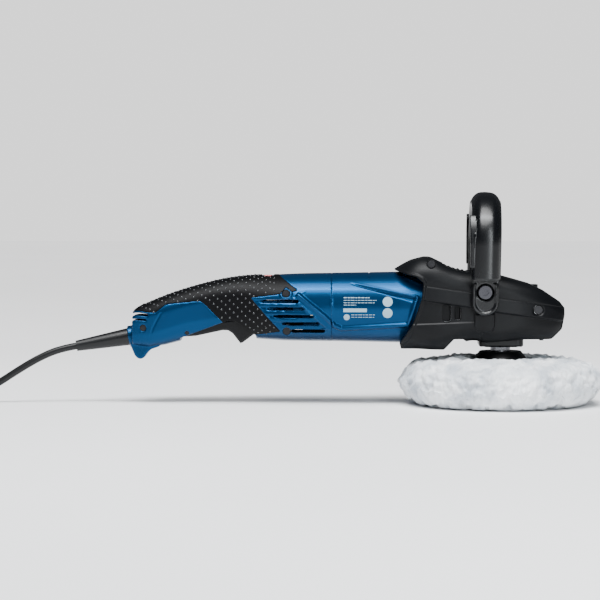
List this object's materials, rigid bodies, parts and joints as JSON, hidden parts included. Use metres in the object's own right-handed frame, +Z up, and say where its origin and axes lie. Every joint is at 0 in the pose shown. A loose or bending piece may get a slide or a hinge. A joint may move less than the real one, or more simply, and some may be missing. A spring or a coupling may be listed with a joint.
{
  "type": "rotary polisher",
  "caption": "Corded rotary polisher with in-line rear handle, two-stage gear head, bow handle and wool bonnet on a round backing pad.",
  "frame": {"origin": "centre of the bonnet's flat working face, on the spindle's axis, where the tool stands", "axes": "+X towards the gear head's nose, +Y to the user's left, +Z up along the spindle, away from the work"},
  "size_m": [0.7485, 0.2018, 0.2116],
  "materials": {
    "blue_housing": "satin moulded",
    "black_cover": "satin moulded",
    "grip_rubber": "matte with raised dots",
    "black_plastic": "matte",
    "bow_plastic": "glossy",
    "red_dial": "satin",
    "cast_aluminium": "as cast",
    "steel": "machined",
    "screw_steel": "black oxide",
    "black_metal": "black, satin",
    "core_steel": "lacquered laminations",
    "copper": "enamelled wire",
    "carbon": "pressed carbon",
    "inner_plastic": "moulded",
    "wool": "lambswool pile",
    "pad_rubber": "matte",
    "cord_rubber": "matte",
    "pin_brass": "nickel plated"
  },
  "bodies": {
    "tool": {"motor_housing": "blue_housing", "handle_shell_right": "blue_housing", "handle_shell_left": "blue_housing", "soft_grip_right": "grip_rubber", "soft_grip_left": "grip_rubber", "gear_cover_right": "black_cover", "gear_cover_left": "black_cover", "gear_housing": "cast_aluminium", "bearing_plate": "black_metal", "spindle_bearing_flange": "black_metal", "stator_core": "core_steel", "field_coils": "copper", "air_baffle": "inner_plastic", "brush_holders": "pin_brass", "carbon_brushes": "carbon", "brush_springs": "steel", "electronics_module": "inner_plastic", "switch_body": "inner_plastic", "speed_potentiometer": "inner_plastic", "cord_clamp": "inner_plastic", "clamp_screws": "screw_steel", "bend_sleeve": "cord_rubber", "cord_lead_in": "cord_rubber", "power_cord": "cord_rubber", "cord_coil": "cord_rubber", "plug_body": "cord_rubber", "plug_pins": "pin_brass", "handle_screws": "screw_steel", "gear_cover_screws": "screw_steel", "gear_housing_screws": "screw_steel", "bottom_screws": "screw_steel", "motor_bearings": "steel", "spindle_upper_bearing": "steel", "spindle_lower_bearing": "steel", "layshaft_bearings": "steel", "trigger_pin": "screw_steel", "trigger_spring": "steel", "spindle_lock_spring": "steel", "bow_washers": "screw_steel", "bow_bolts": "screw_steel"},
    "trigger": {"trigger": "black_plastic"},
    "speed_dial": {"speed_dial": "red_dial"},
    "lock_on_button": {"lock_on_button": "black_plastic"},
    "spindle_lock": {"spindle_lock_button": "black_plastic", "spindle_lock_pin": "steel"},
    "bow_handle": {"bow_frame": "bow_plastic", "bow_grip": "bow_plastic"},
    "spindle": {"spindle": "steel", "spur_gear": "steel", "pad_hub": "black_metal", "backing_pad": "pad_rubber", "polishing_bonnet": "wool"},
    "layshaft": {"layshaft": "steel", "bevel_gear": "steel"},
    "armature": {"armature_shaft": "steel", "armature_core": "core_steel", "armature_windings": "copper", "commutator": "copper", "cooling_fan": "inner_plastic", "bevel_pinion": "steel"}
  },
  "joints": [
    {"name": "spindle_spin", "type": "hinge", "parent": "tool", "child": "spindle", "pos_m": [0, 0, 0.06], "axis": [0, 0, 1], "continuous": true},
    {"name": "layshaft_spin", "type": "hinge", "parent": "tool", "child": "layshaft", "pos_m": [0.032, 0, 0.085], "axis": [0, 0, 1], "continuous": true},
    {"name": "armature_spin", "type": "hinge", "parent": "tool", "child": "armature", "pos_m": [-0.1, 0, 0.0967], "axis": [1, 0, 0], "continuous": true},
    {"name": "trigger_squeeze", "type": "hinge", "parent": "tool", "child": "trigger", "pos_m": [-0.312, 0, 0.0715], "axis": [0, -1, 0], "range_deg": [0, 8], "stiffness_Nm_per_rad": 1.5, "springref_deg": -6.88, "deforming": ["trigger_spring"]},
    {"name": "dial_turn", "type": "hinge", "parent": "tool", "child": "speed_dial", "pos_m": [-0.232, 0, 0.1177], "axis": [1, 0, 0], "range_deg": [0, 280]},
    {"name": "lock_on_push", "type": "slide", "parent": "tool", "child": "lock_on_button", "axis": [0, -1, 0], "range_m": [0, 0.003], "stiffness_N_per_m": 300, "springref_m": -0.004},
    {"name": "spindle_lock_push", "type": "slide", "parent": "tool", "child": "spindle_lock", "axis": [0, 0, -1], "range_m": [0, 0.0038], "stiffness_N_per_m": 400, "springref_m": -0.005, "deforming": ["spindle_lock_spring"]},
    {"name": "bow_tilt", "type": "hinge", "parent": "tool", "child": "bow_handle", "pos_m": [-0.0172, 0, 0.1136], "axis": [0, 1, 0], "range_deg": [-30, 30]}
  ],
  "couplings": [
    {"joint": "layshaft_spin", "follows": "spindle_spin", "ratio": -3},
    {"joint": "armature_spin", "follows": "spindle_spin", "ratio": 9.3333}
  ]
}
